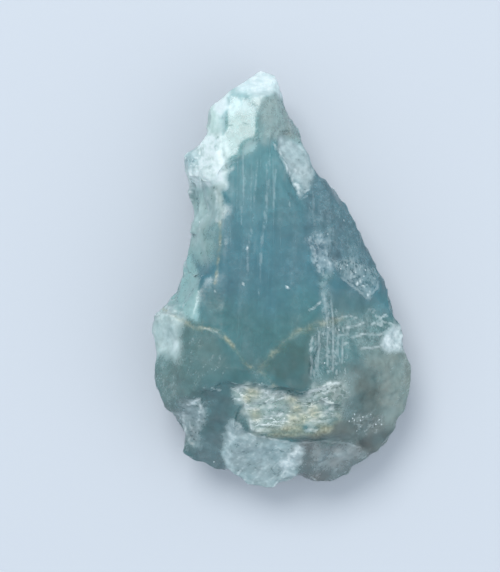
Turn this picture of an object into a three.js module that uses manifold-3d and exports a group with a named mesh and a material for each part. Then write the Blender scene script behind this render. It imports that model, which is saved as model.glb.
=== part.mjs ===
// A rough piece of aquamarine (blue beryl), lying on its back with its broad striated face up.
// One solid: the stone grew and broke off as one piece.
// Millimetres, +Z up, the pointed end towards +Y. Every place is given in the stone's own plan,
// with x across it, y along it and z up from the face it rests on.

import * as THREE from 'three';
import { mergeVertices } from 'three/addons/utils/BufferGeometryUtils.js';
import Module from 'manifold-3d';

const wasm = await Module();
wasm.setup();

// Driving dimensions
const LENGTH = 75;
const WIDTH = 47;
const THICKNESS = 21;

const TIP = LENGTH / 2;
const FOOT = -LENGTH / 2;
const RIGHT = WIDTH / 2;
const LEFT = -WIDTH / 2;
const CLEAR = 60; // reach of a cutter, well past the stone
const ROUND_STEPS = 6; // straight lengths to each curve of the outline
const BALL_SIDES = 32;
const BALL_RINGS = 30;

// ---------------------------------------------------------------------------
// Cutting and joining

function solidFrom(geometry) {
  const bare = geometry.clone();
  bare.deleteAttribute('normal');
  bare.deleteAttribute('uv');
  const merged = mergeVertices(bare, 1e-4);
  return new wasm.Manifold(new wasm.Mesh({
    numProp: 3,
    vertProperties: new Float32Array(merged.attributes.position.array),
    triVerts: new Uint32Array(merged.index.array),
  }));
}

function geometryFrom(solid) {
  const mesh = solid.getMesh();
  const geometry = new THREE.BufferGeometry();
  geometry.setAttribute('position', new THREE.BufferAttribute(mesh.vertProperties, 3));
  geometry.setIndex(new THREE.BufferAttribute(mesh.triVerts, 1));
  return geometry;
}

// A plane is a point on it, the way it falls (degrees from +X towards +Y) and how steeply.
// The block above it has that plane as its underside.
function blockAbove({ x, y, z, towards, dip }) {
  const block = new THREE.BoxGeometry(2 * CLEAR, 2 * CLEAR, CLEAR);
  block.translate(0, 0, CLEAR / 2);
  block.rotateY(THREE.MathUtils.degToRad(dip));
  block.rotateZ(THREE.MathUtils.degToRad(towards));
  block.translate(x, y, z);
  return solidFrom(block);
}

// The same for the underside: the block below a plane that climbs the way it is told.
function blockBelow({ x, y, z, towards, climb }) {
  const block = new THREE.BoxGeometry(2 * CLEAR, 2 * CLEAR, CLEAR);
  block.translate(0, 0, -CLEAR / 2);
  block.rotateY(THREE.MathUtils.degToRad(-climb));
  block.rotateZ(THREE.MathUtils.degToRad(towards));
  block.translate(x, y, z);
  return solidFrom(block);
}

// An upright prism over a plan outline, as tall as the stone and more.
function prismOver(plan) {
  const column = new THREE.ExtrudeGeometry(plan, {
    depth: CLEAR,
    bevelEnabled: false,
    curveSegments: ROUND_STEPS,
  });
  return solidFrom(column);
}

function planOf(corners) {
  return new THREE.Shape(corners.map(([x, y]) => new THREE.Vector2(x, y)));
}

// The dish left by a shell-shaped (conchoidal) flake: the bottom of a large ball whose pole stands on
// the broken face, so that its rings spread from the middle of the dish.
function flakeDish({ x, y, z, towards, dip, wide, deep, stretch = 1 }) {
  const radius = (wide * wide / 4 + deep * deep) / (2 * deep);
  const ball = new THREE.SphereGeometry(radius, BALL_SIDES, BALL_RINGS);
  ball.rotateX(Math.PI / 2);
  ball.scale(1, stretch, 1);
  ball.translate(0, 0, radius - deep);
  ball.rotateY(THREE.MathUtils.degToRad(dip));
  ball.rotateZ(THREE.MathUtils.degToRad(towards));
  ball.translate(x, y, z);
  return solidFrom(ball);
}

// ---------------------------------------------------------------------------
// The outline: a pear shape, pointed at one end, with two rounded lobes and a broken foot

function stoneOutline() {
  const plan = new THREE.Shape();
  plan.moveTo(-4, TIP);
  // right edge, from the tip down to the lobe
  plan.lineTo(-1.5, 36.5);
  plan.lineTo(0, 33.5);
  plan.lineTo(1, 30.5);
  plan.lineTo(3, 27.5);
  plan.lineTo(4.2, 24);
  plan.lineTo(5.7, 20.5);
  plan.lineTo(9, 17.8);
  plan.lineTo(10.8, 15.5);
  plan.lineTo(12.3, 12);
  plan.lineTo(15.5, 5.8);
  plan.lineTo(19.4, -1.8);
  plan.lineTo(21.8, -9);
  // right lobe
  plan.splineThru([
    new THREE.Vector2(23.2, -13.4),
    new THREE.Vector2(RIGHT, -17.5),
    new THREE.Vector2(22.4, -23.5),
    new THREE.Vector2(20.4, -28.2),
  ]);
  // foot, broken into three bites
  plan.lineTo(18, -30.6);
  plan.lineTo(13.2, -33.6);
  plan.quadraticCurveTo(9.6, -38.2, 5.6, -37.1);
  plan.lineTo(3.7, -36.2);
  plan.lineTo(0.8, FOOT);
  plan.lineTo(-3, FOOT);
  plan.lineTo(-6.3, -37);
  plan.lineTo(-9.5, -35.1);
  plan.lineTo(-14, -33.5);
  plan.lineTo(-18.2, -31.3);
  plan.lineTo(-17.8, -27.8);
  // left lobe
  plan.splineThru([
    new THREE.Vector2(-20, -24.6),
    new THREE.Vector2(-22.6, -18.4),
    new THREE.Vector2(LEFT, -12.4),
    new THREE.Vector2(-23.1, -5.8),
  ]);
  // left edge, from the lobe up to the shoulder
  plan.lineTo(-21.4, -3.7);
  plan.lineTo(-19.8, -1.6);
  plan.lineTo(-18.2, 2.1);
  plan.lineTo(-16.8, 6);
  plan.lineTo(-16.3, 12.2);
  plan.lineTo(-17.2, 15.6);
  plan.lineTo(-17.6, 22.2);
  plan.lineTo(-14, 26.2);
  plan.lineTo(-13.2, 30.6);
  plan.lineTo(-11.4, 32);
  plan.lineTo(-8, 34.5);
  plan.closePath();
  return plan;
}

// ---------------------------------------------------------------------------
// The upper side. Each zone is a plan outline, carried past the edge of the stone, and the faces that
// meet inside it. Where two zones differ in height there is a step, as a broken crystal has.

const STRIATED_FACE = { x: -9.6, y: -18.3, z: THICKNESS, towards: 75, dip: 5.5 };
const LAYER = 0.9; // a thin layer still left on the tip, above the striated face

// The height of a face over a place in the plan, to hinge the next face on it.
function heightOn(face, x, y) {
  const away = THREE.MathUtils.degToRad(face.towards);
  const reach = (x - face.x) * Math.cos(away) + (y - face.y) * Math.sin(away);
  return face.z - reach * Math.tan(THREE.MathUtils.degToRad(face.dip));
}

// A face that turns away from the striated one along a line through (x, y), or lies `drop` below it.
function faceFrom(x, y, towards, dip, drop = 0) {
  return { x, y, z: heightOn(STRIATED_FACE, x, y) - drop, towards, dip };
}

const UPPER_ZONES = [
  {
    name: 'striated face, its right flank and the right side of the tip',
    plan: [[-12.4, 17], [-10.4, 19.9], [-7.4, 21.4], [-6.8, 23.6], [-4.4, 24.6], [-4.2, 31], [-2.6, 33],
      [-1, 45], [30, 45], [30, -45], [-9, -45], [-16, -20], [-15.4, -8], [-15, 2], [-12.2, 3.6]],
    faces: [
      STRIATED_FACE,
      faceFrom(-10.6, -3, 156, 13),
      faceFrom(-2, 25, 30, 24),
      faceFrom(5, 11, 20, 33),
      faceFrom(7.6, 0, 6, 32),
      faceFrom(6.4, -12, -4, 27),
      faceFrom(9, -18, -28, 30),
    ],
  },
  {
    name: 'pale layer left on the tip',
    plan: [[-10.8, 19.4], [-7, 21], [-6.2, 23.2], [-3.8, 24.2], [-3.6, 31], [-2, 33], [0, 45], [-20, 45],
      [-20, 26], [-10.8, 26]],
    faces: [
      faceFrom(-5, 25, 118, 17, -LAYER),
      faceFrom(-10.4, 27, 160, 44, 0.5),
      faceFrom(-8, 33, 125, 40, 0.6),
    ],
  },
  {
    name: 'cap of the tip',
    plan: [[-9.4, 32.4], [-5, 32.9], [3, 33.3], [6, 45], [-16, 45]],
    faces: [
      { x: -3, y: 33, z: 14.6, towards: 84, dip: 30 },
      { x: -1.5, y: 34, z: 13.8, towards: 25, dip: 46 },
    ],
  },
  {
    name: 'frosty shoulder',
    plan: [[-12, 16.3], [-10.2, 19.6], [-10.4, 27.4], [-14, 34], [-26, 34], [-26, 15.6], [-16.5, 15.8]],
    faces: [
      faceFrom(-10.4, 22, 163, 30, -LAYER),
      faceFrom(-15, 21, 176, 52, 1.6),
    ],
  },
  {
    name: 'prism face down the left edge',
    plan: [[-11.8, 16.8], [-11.7, 10], [-11.2, 5], [-12, 1.6], [-15.4, 1.4], [-28, 8], [-28, 16.8]],
    faces: [faceFrom(-11.8, 10, 178, 50, 0.3)],
  },
  {
    name: 'pale three-cornered face on the left',
    plan: [[-14.9, 4], [-14.9, -8.2], [-19, -6.5], [-22.6, -4.4], [-30, -1], [-26, 10], [-15.6, 8]],
    faces: [
      { x: -14.9, y: -2, z: 19.1, towards: 160, dip: 38 },
      { x: -18.6, y: -2.2, z: 15.6, towards: 150, dip: 58 },
    ],
  },
  {
    name: 'left lobe',
    plan: [[-14.6, -7.6], [-19, -6], [-22.4, -4], [-30, 0], [-30, -45], [-12, -45], [-12.6, -20]],
    faces: [
      faceFrom(-13.4, -14, 183, 23, 0.3),
      { x: -18.8, y: -14, z: 17.9, towards: 187, dip: 45 },
      { x: -13.5, y: -21, z: 19.8, towards: 238, dip: 43 },
    ],
  },
  {
    name: 'bright three-cornered break, upper right',
    plan: [[0, 25.6], [-0.3, 22.8], [1.4, 19], [3.3, 14], [5, 17], [8, 19.4], [14, 24], [6, 28]],
    faces: [{ x: 2, y: 20, z: 15.7, towards: 33, dip: 31 }],
  },
  {
    name: 'right edge by the tip',
    plan: [[-2, 45], [-2, 32], [1, 24], [3.6, 18.6], [6, 18], [20, 22], [20, 45]],
    faces: [{ x: 1.6, y: 26.5, z: 14.4, towards: 24, dip: 50 }],
  },
  {
    name: 'right edge of the flank',
    plan: [[5.6, 21], [8, 16], [11, 6], [16.4, -6.4], [19, -9], [34, -9], [34, 21]],
    faces: [
      { x: 10.6, y: 12, z: 14.6, towards: 33, dip: 52 },
      { x: 14.6, y: 3, z: 14, towards: 24, dip: 50 },
    ],
  },
  {
    name: 'ladder of steps',
    plan: [[5.2, -7], [7, -5.6], [8.4, -8.6], [10.6, -8], [11.4, -16.8], [5.4, -17.4]],
    faces: [faceFrom(6, -12, -4, 25, 0.9)],
  },
  {
    name: 'thin grey slab of the right lobe',
    plan: [[15, -8.4], [22, -6.6], [30, -6], [30, -34], [15.5, -31], [17, -20]],
    faces: [{ x: 16, y: -18, z: 14.6, towards: -8, dip: 37 }],
  },
  {
    name: 'crust, first step',
    plan: [[-9.6, -18.2], [-3, -18.9], [1.2, -19.8], [6, -19.4], [12.6, -18], [14.4, -26], [20, -31],
      [24, -45], [-10, -45]],
    faces: [{ x: 0, y: -19.5, z: 18.7, towards: 270, dip: 16 }],
  },
  {
    name: 'crust, second step',
    plan: [[-7.4, -21.8], [-2, -22.2], [4, -23], [9, -21.7], [13, -23], [16, -28], [22, -32], [22, -45],
      [-10, -45]],
    faces: [{ x: 0, y: -22.5, z: 16.8, towards: 272, dip: 19 }],
  },
  {
    name: 'the two lobes of the foot',
    plan: [[-9.7, -26.4], [-4, -27.3], [2, -28.3], [7, -28.5], [13, -28.2], [18.5, -28.6], [28, -33],
      [24, -45], [-9.7, -45]],
    faces: [
      { x: 0, y: -28, z: 14, towards: 272, dip: 29 },
      { x: 9, y: -31, z: 12.6, towards: 300, dip: 34 },
    ],
  },
  {
    name: 'dark hollow beside the foot',
    plan: [[-14.4, -20.6], [-9.2, -18.4], [-8.9, -26.4], [-9.7, -27], [-9.7, -45], [-17, -45]],
    faces: [{ x: -11.6, y: -22, z: 17.4, towards: 258, dip: 37 }],
  },
];

const UPPER_FLAKES = [
  { x: -4.6, y: -35, z: 10, towards: 265, dip: 30, wide: 14, deep: 1, stretch: 0.9 }, // pale foot lobe
  { x: 9.4, y: -35, z: 9.6, towards: 296, dip: 33, wide: 15, deep: 0.9, stretch: 0.8 }, // grey one
  { x: -16, y: 22, z: 14.6, towards: 160, dip: 40, wide: 12, deep: 0.8, stretch: 1.2 }, // shoulder
  { x: 18, y: -25, z: 11.4, towards: -34, dip: 33, wide: 15, deep: 0.7, stretch: 1.4 }, // lower right
];

// ---------------------------------------------------------------------------
// The underside: one flat break that the stone rests on, and faces that climb from it to the edge

const UNDER_ZONES = [
  {
    name: 'all round',
    plan: [[-40, -50], [40, -50], [40, 50], [-40, 50]],
    faces: [
      { x: 9, y: -6, z: 0, towards: 2, climb: 24 },
      { x: 6, y: 9, z: 0, towards: 34, climb: 33 },
      { x: 9.6, y: -17, z: 0, towards: -30, climb: 20 },
      { x: 4, y: -24, z: 0, towards: -68, climb: 19 },
      { x: -4, y: -25.6, z: 0, towards: 262, climb: 22 },
      { x: -12, y: -19, z: 0, towards: 224, climb: 25 },
      { x: -14, y: -6, z: 0, towards: 182, climb: 38 },
      { x: -11.4, y: 8, z: 0, towards: 160, climb: 33 },
      { x: -4, y: 17, z: 0, towards: 94, climb: 19 },
      { x: -3, y: 32, z: 5.2, towards: 78, climb: 32 },
    ],
  },
  {
    name: 'right edge by the tip',
    plan: [[-6, 50], [-6, 18], [20, 18], [20, 50]],
    faces: [{ x: 1, y: 26, z: 4.4, towards: 24, climb: 46 }],
  },
  {
    name: 'right edge of the flank',
    plan: [[0, 20], [40, 20], [40, -6], [8, -6]],
    faces: [
      { x: 10, y: 12.6, z: 3.8, towards: 32, climb: 50 },
      { x: 14.8, y: 3, z: 3.8, towards: 24, climb: 44 },
    ],
  },
  {
    name: 'left edge under the shoulder',
    plan: [[-12, 26], [-8, 4], [-40, 0], [-40, 26]],
    faces: [{ x: -14.6, y: 12, z: 3.4, towards: 172, climb: 50 }],
  },
];

const UNDER_FLAKES = [
  { x: -17, y: -25, z: 4.6, towards: 224, dip: 155, wide: 14, deep: 0.9 },
  { x: 5, y: -34, z: 3.6, towards: -68, dip: 161, wide: 15, deep: 0.8, stretch: 0.8 },
  { x: 19, y: -12, z: 4.4, towards: 2, dip: 156, wide: 14, deep: 0.8, stretch: 1.5 },
];

// ---------------------------------------------------------------------------
// The stone

function joined(solids) {
  return solids.reduce((whole, next) => whole.add(next));
}

function crystalSolid() {
  let stone = prismOver(stoneOutline());
  for (const { plan, faces } of UPPER_ZONES) {
    stone = stone.subtract(prismOver(planOf(plan)).intersect(joined(faces.map(blockAbove))));
  }
  for (const flake of [...UPPER_FLAKES, ...UNDER_FLAKES]) {
    stone = stone.subtract(flakeDish(flake));
  }
  for (const { plan, faces } of UNDER_ZONES) {
    stone = stone.subtract(prismOver(planOf(plan)).intersect(joined(faces.map(blockBelow))));
  }
  return stone;
}

const aquamarine = new THREE.MeshStandardMaterial({
  name: 'aquamarine',
  color: 0x6fa3ad,
  roughness: 0.35,
  metalness: 0,
});

const geometry = geometryFrom(crystalSolid());
geometry.computeBoundingBox();
const { min, max } = geometry.boundingBox;
geometry.translate(-(min.x + max.x) / 2, -(min.y + max.y) / 2, -min.z);

const crystal = new THREE.Mesh(geometry, aquamarine);
crystal.name = 'aquamarine_crystal';

const group = new THREE.Group();
group.add(crystal);

export default group;
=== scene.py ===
import math

import bmesh
import bpy
import numpy as np
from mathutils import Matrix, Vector
from mathutils.bvhtree import BVHTree


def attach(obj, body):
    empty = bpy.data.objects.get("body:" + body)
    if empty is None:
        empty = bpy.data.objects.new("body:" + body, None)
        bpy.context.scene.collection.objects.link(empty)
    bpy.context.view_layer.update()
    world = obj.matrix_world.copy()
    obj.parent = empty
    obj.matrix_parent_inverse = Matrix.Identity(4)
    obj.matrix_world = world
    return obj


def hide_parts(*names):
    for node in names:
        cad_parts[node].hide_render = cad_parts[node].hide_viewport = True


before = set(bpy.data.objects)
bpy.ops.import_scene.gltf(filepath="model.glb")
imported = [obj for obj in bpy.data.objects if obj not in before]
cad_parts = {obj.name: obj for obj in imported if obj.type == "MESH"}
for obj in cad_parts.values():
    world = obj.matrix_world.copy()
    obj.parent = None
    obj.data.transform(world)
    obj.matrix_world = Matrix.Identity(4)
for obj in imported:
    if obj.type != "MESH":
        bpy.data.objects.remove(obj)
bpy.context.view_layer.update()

# ---------------------------------------------------------------------------
# The table, the light and the view
# A pale matt table top with nothing else on it. A wide soft lamp stands on the side of the
# pointed end and to the left, a weaker one opposite, and the room is pale all round. The
# camera looks straight down, a little left of the stone.

MM = 0.001
TABLE_SIZE = 6.0
TABLE_GAP = 0.15 * MM  # the stone's own roughness keeps it off the table
TABLE_COLOUR = (0.390, 0.420, 0.455, 1)
TABLE_ROUGHNESS = 0.75
ROOM_COLOUR = (0.80, 0.88, 0.98, 1)
ROOM_STRENGTH = 1.18
LAMPS = [  # name, place, width, power, colour
    ("window_light", (-0.50, 1.05, 1.45), 1.1, 28.0, (1.0, 0.99, 0.97)),
    ("fill_light", (0.80, -0.40, 0.80), 1.4, 3.8, (1.0, 0.99, 0.98)),
]

LENS = 100.0
NEAREST_SEEN = 0.01
FARTHEST_SEEN = 20
VIEW_ACROSS = -5.8 * MM
VIEW_ALONG = -1.0 * MM
VIEW_HEIGHT = 295 * MM


def placed(name, data):
    made = bpy.data.objects.new(name, data)
    bpy.context.scene.collection.objects.link(made)
    return made


def new_material(name):
    made = bpy.data.materials.new(name)
    made.use_nodes = True
    nodes = made.node_tree.nodes
    return made, nodes, made.node_tree.links, nodes["Principled BSDF"]


def add_table():
    mesh = bpy.data.meshes.new("table")
    half = TABLE_SIZE / 2
    corners = [(-half, -half), (half, -half), (half, half), (-half, half)]
    mesh.from_pydata([(x, y, -TABLE_GAP) for x, y in corners], [], [(0, 1, 2, 3)])
    matt, _, _, shader = new_material("matt_table")
    shader.inputs["Base Color"].default_value = TABLE_COLOUR
    shader.inputs["Roughness"].default_value = TABLE_ROUGHNESS
    mesh.materials.append(matt)
    table = placed("table", mesh)


def add_lamp(name, place, width, power, colour):
    light = bpy.data.lights.new(name, "AREA")
    light.shape = "DISK"
    light.size = width
    light.energy = power
    light.color = colour
    lamp = placed(name, light)
    lamp.location = place
    lamp.rotation_euler = (-Vector(place)).to_track_quat("-Z", "Y").to_euler()


def add_room():
    room = bpy.data.worlds.new("room")
    room.use_nodes = True
    air = room.node_tree.nodes["Background"]
    air.inputs["Color"].default_value = ROOM_COLOUR
    air.inputs["Strength"].default_value = ROOM_STRENGTH
    bpy.context.scene.world = room


def add_camera():
    camera = placed("camera", bpy.data.cameras.new("camera"))
    camera.data.lens = LENS
    camera.data.clip_start = NEAREST_SEEN
    camera.data.clip_end = FARTHEST_SEEN
    camera.location = (VIEW_ACROSS, VIEW_ALONG, VIEW_HEIGHT)
    bpy.context.scene.camera = camera


add_table()
for lamp in LAMPS:
    add_lamp(*lamp)
add_room()
add_camera()
bpy.context.scene.view_settings.view_transform = "Standard"

# ---------------------------------------------------------------------------
# The crystal
# One piece of blue-green beryl, cloudy and see-through where it is thin. Broken all round, with
# one striated growth face up. Its body is the solid model's own shape, divided finely, then
# chipped, stepped, furrowed and roughened; every place is in millimetres in the stone's plan.

CRYSTAL = "aquamarine_crystal"
GRAIN = 0.26  # length of one side of the finest mesh face
SEED = 11
LOW_DOWN = 1.0  # the skin below this height, or facing down, needs fewer faces
LOW_DOWN_SHARE = 0.70
CHANCE_ROWS = 4096


def closed_copy(node):
    work = bmesh.new()
    work.from_mesh(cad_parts[node].data)
    bmesh.ops.remove_doubles(work, verts=work.verts, dist=1e-6)
    mesh = bpy.data.meshes.new("closed_copy")
    work.to_mesh(mesh)
    work.free()
    return mesh


def taken_from(holder):
    """A plain mesh of what the holder's modifiers make; the holder goes."""
    view = bpy.context.evaluated_depsgraph_get()
    made = bpy.data.meshes.new_from_object(holder.evaluated_get(view))
    bpy.data.objects.remove(holder)
    return made


def with_modifier(mesh, kind, only=None, **settings):
    """The mesh as the modifier leaves it; where some points are given, it works on those only."""
    holder = placed("holder", mesh)
    modifier = holder.modifiers.new("work", kind)
    if only is not None:
        holder.vertex_groups.new(name="only").add(only.tolist(), 1.0, "REPLACE")
        modifier.vertex_group = "only"
    for name, value in settings.items():
        setattr(modifier, name, value)
    return taken_from(holder)


def points_of(mesh):
    points = np.zeros(len(mesh.vertices) * 3)
    mesh.vertices.foreach_get("co", points)
    return points.reshape(-1, 3) / MM


def put_points(mesh, points):
    mesh.vertices.foreach_set("co", (points * MM).astype(np.float32).ravel())
    mesh.update()


def outward(mesh):
    normals = np.zeros(len(mesh.vertices) * 3, np.float32)
    mesh.vertex_normals.foreach_get("vector", normals)
    return normals.reshape(-1, 3).astype(float)


def edges_of(mesh):
    pairs = np.zeros(len(mesh.edges) * 2, np.int32)
    mesh.edges.foreach_get("vertices", pairs)
    return pairs.reshape(-1, 2)


def neighbour_mean(edges, values):
    """The mean of each point's neighbours."""
    count = np.bincount(edges.ravel(), minlength=len(values))
    total = np.zeros_like(values)
    flat = values.reshape(len(values), -1)
    for axis in range(flat.shape[1]):
        column = np.bincount(edges[:, 0], flat[edges[:, 1], axis], len(values))
        column += np.bincount(edges[:, 1], flat[edges[:, 0], axis], len(values))
        total.reshape(len(values), -1)[:, axis] = column / count
    return total


def averaged(edges, values, turns):
    for _ in range(turns):
        values = neighbour_mean(edges, values)
    return values


def ramp(low, high, values):
    t = np.clip((values - low) / (high - low), 0, 1)
    return t * t * (3 - 2 * t)


def chance_row(cell):
    """Which row of a table of chances belongs to a cell of space."""
    mixed = cell * (73856093, 19349663, 83492791)
    return (mixed[:, 0] ^ mixed[:, 1] ^ mixed[:, 2]) % CHANCE_ROWS


def lumps_at(points, seed):
    """Smooth random values from about -1 to 1, one lump to a unit of length."""
    slopes = np.random.default_rng(seed).normal(size=(CHANCE_ROWS, 3))
    slopes /= np.linalg.norm(slopes, axis=1)[:, None]
    cell = np.floor(points).astype(np.int64)
    inside = points - cell
    ease = inside ** 3 * (inside * (inside * 6 - 15) + 10)
    total = np.zeros(len(points))
    for corner in np.ndindex(2, 2, 2):
        pick = chance_row(cell + corner)
        weight = np.prod(np.where(np.array(corner, bool), ease, 1 - ease), axis=1)
        total += weight * np.einsum("ij,ij->i", slopes[pick], inside - corner)
    return total * 1.7


def swell(points, size, octaves=3, seed=1):
    """Random lumps of the given size, with finer ones on them, from about -1 to 1."""
    total = np.zeros(len(points))
    for octave in range(octaves):
        total += lumps_at(points * 2 ** octave / size, seed + octave) / 2 ** octave
    return total


def sway(points, size, octaves, *seeds):
    """Sideways random shifts, one column to a seed."""
    return np.stack([swell(points, size, octaves, seed) for seed in seeds], 1)


def with_third(pair):
    """Two columns of shifts with the first used again as the third."""
    return np.c_[pair, pair[:, 0]]


def threads(points, size, seed, thick, thin=0.0):
    """Thin winding threads, 1 along their middle."""
    return 1 - ramp(thin, thick, np.abs(swell(points, size, 3, seed)))


def beside(plan, line):
    """How far each place is from a bent line, positive on its left, and how far along it is,
    from 0 to 1."""
    signed = np.full(len(plan), 1e9)
    share = np.zeros(len(plan))
    runs = [math.dist(a, b) for a, b in zip(line[:-1], line[1:])]
    done = 0
    for start, end, run in zip(line[:-1], line[1:], runs):
        a, way = np.array(start, float), np.array(end, float) - start
        off = plan - a
        along = np.clip(off @ way / run ** 2, 0, 1)
        gap = np.linalg.norm(off - along[:, None] * way, axis=1)
        side = np.where(way[0] * off[:, 1] - way[1] * off[:, 0] >= 0, 1, -1)
        nearer = gap < np.abs(signed)
        signed = np.where(nearer, side * gap, signed)
        share = np.where(nearer, (done + along * run) / sum(runs), share)
        done += run
    return signed, share


def taper(share, ends=0.12):
    return ramp(0, ends, share) * ramp(0, ends, 1 - share)


def stroke(plan, line, width, ends=0.12):
    """1 along a line, fading over its width and towards its ends."""
    signed, share = beside(plan, line)
    return np.exp(-(signed / width) ** 2) * taper(share, ends)


def step_beside(plan, line, side, reach):
    """1 just beside a line, on its left where side is 1, falling to nothing at the reach."""
    signed, share = beside(plan, line)
    signed = side * signed
    return ramp(-0.15, 0.15, signed) * (1 - ramp(0.1, reach, signed)) * taper(share)


def within(plan, corners, soft):
    """1 inside a plan outline, 0 outside it, with an edge that is soft over this many mm."""
    inside = np.zeros(len(plan), bool)
    for (ax, ay), (bx, by) in zip(corners, corners[1:] + corners[:1]):
        crosses = (ay > plan[:, 1]) != (by > plan[:, 1])
        rise = by - ay if by != ay else 1e-9
        inside ^= crosses & (plan[:, 0] < (bx - ax) * (plan[:, 1] - ay) / rise + ax)
    edge = np.abs(beside(plan, corners + corners[:1])[0])
    return ramp(-soft, soft, np.where(inside, edge, -edge))


def flake_off(points, normals, centre, facing, radius, depth):
    """A shell-shaped hollow: skin inside a ball that dips into the stone sinks to the ball's
    surface, never by much more than the flake is thick."""
    reach = 1.9 * math.sqrt(2 * radius * depth)
    near = np.flatnonzero(np.abs(points - centre).max(1) < reach)
    off = points[near] - centre
    height = off @ facing
    apart2 = (off ** 2).sum(1) - height ** 2
    bowl = radius - depth - np.sqrt(np.maximum(radius ** 2 - apart2, 0))
    sunk = np.clip(height - bowl, 0, 2.2 * depth)
    sunk *= 1 - ramp(0.65, 1.0, np.linalg.norm(off, axis=1) / reach)
    sunk *= ramp(0.0, 0.5, normals[near] @ facing)
    points[near] -= sunk[:, None] * facing


def chip_all_over(points, normals, chance, count, radii, depths, tilt, rng):
    """Knocks off many flakes at places drawn by chance; a broad one leans less than a small one."""
    picks = rng.choice(len(points), count, p=chance / chance.sum())
    for pick in picks:
        radius = rng.uniform(*radii)
        depth = rng.uniform(*depths)
        lean = tilt * math.sqrt(2 * depth / radius)
        facing = normals[pick] + lean * rng.normal(size=3)
        facing /= np.linalg.norm(facing)
        flake_off(points, normals, points[pick].copy(), facing, radius, depth)


def facets_at(points, seed):
    """Splits space into angular grains one unit wide. For each place: its offset from the middle
    of its grain, four chance values of the grain, and how far it is from the next grain."""
    chances = np.random.default_rng(seed).random((CHANCE_ROWS, 7))
    cell = np.floor(points).astype(np.int64)
    nearest = np.full(len(points), 9.0)
    second = np.full(len(points), 9.0)
    offset = np.zeros_like(points)
    luck = np.zeros((len(points), 4))
    for step in np.ndindex(3, 3, 3):
        at = cell + step - 1
        pick = chance_row(at)
        away = points - at - chances[pick, :3]
        gap = np.linalg.norm(away, axis=1)
        nearer = gap < nearest
        second = np.where(nearer, nearest, np.minimum(second, gap))
        nearest = np.where(nearer, gap, nearest)
        offset = np.where(nearer[:, None], away, offset)
        luck = np.where(nearer[:, None], chances[pick, 3:], luck)
    return offset, luck, second - nearest


# Plan outlines of the stone's areas.
STRIATED = [
    (-10.4, 19.4), (-8.7, 20.6), (-7, 21.8), (-6.6, 24), (-4.3, 25.6), (-4.2, 32.6), (-0.6, 32.6),
    (0.6, 27), (-0.6, 23.6), (3.4, 14.4), (5.6, 7.5), (7.2, 0), (7.2, -9), (5, -17.6), (-8, -18.4),
    (-13.6, -14), (-14.8, 2), (-11.6, 4),
]
TIP_ALL = [
    (-10.3, 19.6), (-7, 21.4), (-4.2, 25.6), (-4, 31), (-1.6, 33.2), (2, 33.4), (1, 39), (-12, 39),
    (-20, 31), (-20, 22), (-14, 19),
]
TIP_CAP = [(-8, 34.2), (-5, 33.4), (-2, 33.5), (2, 33.5), (2, 39), (-12, 39)]
TIP_LAYER = [
    (-9.6, 33.2), (-7.3, 34.1), (-4.2, 30.6), (-4.1, 28.5), (-4.2, 25.7), (-6.7, 24.1), (-7, 21.9),
    (-8.7, 20.7), (-10.3, 21.3), (-10.4, 29),
]
LAYER_HIGH = [(-10, 34), (-7, 34.4), (-5.2, 31.6), (-6.4, 28.4), (-10.4, 27.6)]
LAYER_LOW = [(-8.4, 28.6), (-4.4, 30), (-4.2, 25.7), (-6.7, 24.1), (-7, 22.2), (-9.4, 21.6)]
TIP_WEDGE = [(-11.4, 32.4), (-9.2, 33.4), (-9, 30.4), (-10.2, 29.2), (-11.6, 30.6)]
TIP_LEFT = [(-10.3, 19.8), (-10.4, 29), (-9.6, 33.2), (-12, 37), (-18, 30), (-18, 24), (-13, 24)]
TIP_RIGHT = [(-4.2, 33), (-0.6, 33.2), (2, 29), (4, 24.6), (-0.8, 24.2), (-3.4, 24.6)]
SHOULDER = [
    (-10.8, 16.4), (-10.2, 19.8), (-10.4, 24.4), (-13.5, 26), (-20, 27), (-20, 15.9), (-16, 16.6),
]
SHOULDER_BLUE = [(-15, 24.8), (-14.4, 21.6), (-16.6, 19.6), (-19, 19), (-19, 25)]
LEFT_PRISM = [(-12.2, 16.2), (-11.6, 4), (-15, 3), (-20, 4), (-20, 16)]
LEFT_FLECKS = [(-12.6, 14.6), (-12.8, 9.6), (-14.6, 6.4), (-18, 6), (-18, 13.6)]
CREAM_VEIN = [(-12.6, 16.4), (-11.2, 16.4), (-11.3, 12), (-11.5, 10), (-12.1, 12)]
PALE_FACET = [
    (-17.6, 5), (-16.4, 4.4), (-15.4, 2.6), (-14.7, 0.2), (-14.7, -7.3), (-19, -5.6), (-21.6, -3.4),
    (-24, -2),
]
SOUND_SKIN = [(-16, 6), (-10, 6), (-10, -9.6), (-16, -9.6)]
LEFT_LOBE_TOP = [(-19.4, -5.4), (-17.6, -7.4), (-18.2, -13.2), (-26, -14.6), (-26, -2)]
LEFT_RIM = [(-26, -12), (-20, -12.6), (-18.6, -17), (-16.4, -22), (-18.4, -27), (-26, -24)]
LEFT_MID = [(-18.6, -6.4), (-14.9, -8.1), (-15.1, -13), (-17, -16), (-22, -15)]
LOBE_GLINT = [(-19.2, -10.6), (-18.5, -10.4), (-18.2, -12), (-19, -12.2)]
LEFT_LOBE = [
    (-14.8, -8), (-19, -6.4), (-22.4, -4.4), (-26, -4), (-26, -22), (-18, -26), (-13, -19),
    (-9, -15),
]
THREE_CORNER = [(-0.9, 24.8), (-0.3, 22.4), (3.4, 14.2), (4.6, 15.4), (6, 19.6), (3.6, 24)]
RIGHT_FLANK = [
    (3.8, 14.4), (6, 20), (16, 18), (24, -5), (16.6, -1.4), (14.9, -3), (9.7, 0.8), (8.4, 2.8),
    (4.2, 7),
]
FLANK_END = [
    (8.6, 3.6), (10, 4), (17.6, 2.4), (17.2, 0), (16.7, -1.6), (14.9, -3.2), (13.1, -1.6),
    (9.7, 0.9),
]
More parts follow.
